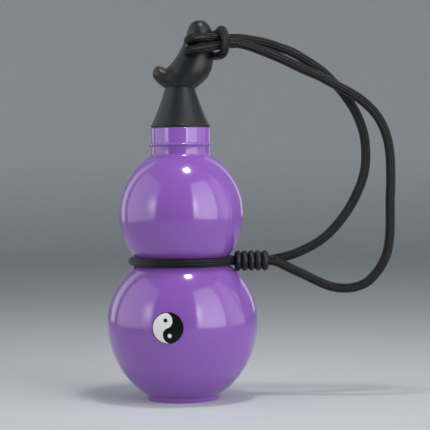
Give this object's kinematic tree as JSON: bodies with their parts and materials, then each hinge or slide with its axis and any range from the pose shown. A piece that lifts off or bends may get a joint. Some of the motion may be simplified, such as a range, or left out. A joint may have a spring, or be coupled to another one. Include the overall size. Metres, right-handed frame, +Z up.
{
  "type": "gourd water bottle",
  "caption": "Gourd-shaped water bottle with a screw cap, a stem handle, and a carrying cord hitched to the stem and held at the waist by a ribbed slider.",
  "frame": {"origin": "centre of the bottle's foot, on the table", "axes": "+Z up along the bottle's axis, -Y towards the front with the emblem, +X towards the side where the cord hangs out"},
  "size_m": [0.215, 0.1123, 0.2819],
  "materials": {
    "shell_plastic": "glossy, deep purple",
    "emblem_white": "satin print, white",
    "emblem_black": "satin print, black",
    "seal_rubber": "soft black sealing ring",
    "cap_plastic": "satin charcoal plastic",
    "stem_plastic": "satin charcoal plastic",
    "screw_steel": "plain steel",
    "cord_braid": "tight black braid with a slight sheen",
    "slider_rubber": "matte black, soft"
  },
  "bodies": {
    "bottle": {"bottle_shell": "shell_plastic", "emblem_light": "emblem_white", "emblem_dark": "emblem_black", "cord_front": "cord_braid", "cord_back": "cord_braid", "cord_waist": "cord_braid"},
    "seal": {"seal_ring": "seal_rubber"},
    "cap": {"cap_plug": "cap_plastic", "cap_cone": "cap_plastic", "cap_stem": "stem_plastic", "stem_screw": "screw_steel", "cord_hitch": "cord_braid"},
    "slider": {"cord_slider": "slider_rubber"}
  },
  "joints": [
    {"name": "cap_lift", "type": "slide", "parent": "bottle", "child": "seal", "axis": [0, 0, 1], "range_m": [0, 0.0121], "deforming": ["cord_front", "cord_back"]},
    {"name": "cap_turn", "type": "hinge", "parent": "seal", "child": "cap", "pos_m": [0, 0, 0.2022], "axis": [0, 0, 1], "range_deg": [0, 1080], "deforming": ["cord_front", "cord_back"]},
    {"name": "slider_slide", "type": "slide", "parent": "bottle", "child": "slider", "axis": [1, 0, 0], "range_m": [0, 0.02], "deforming": ["cord_front", "cord_back", "cord_waist"]}
  ],
  "couplings": [
    {"joint": "cap_lift", "follows": "cap_turn", "m_per_rad": 0.00063662}
  ]
}
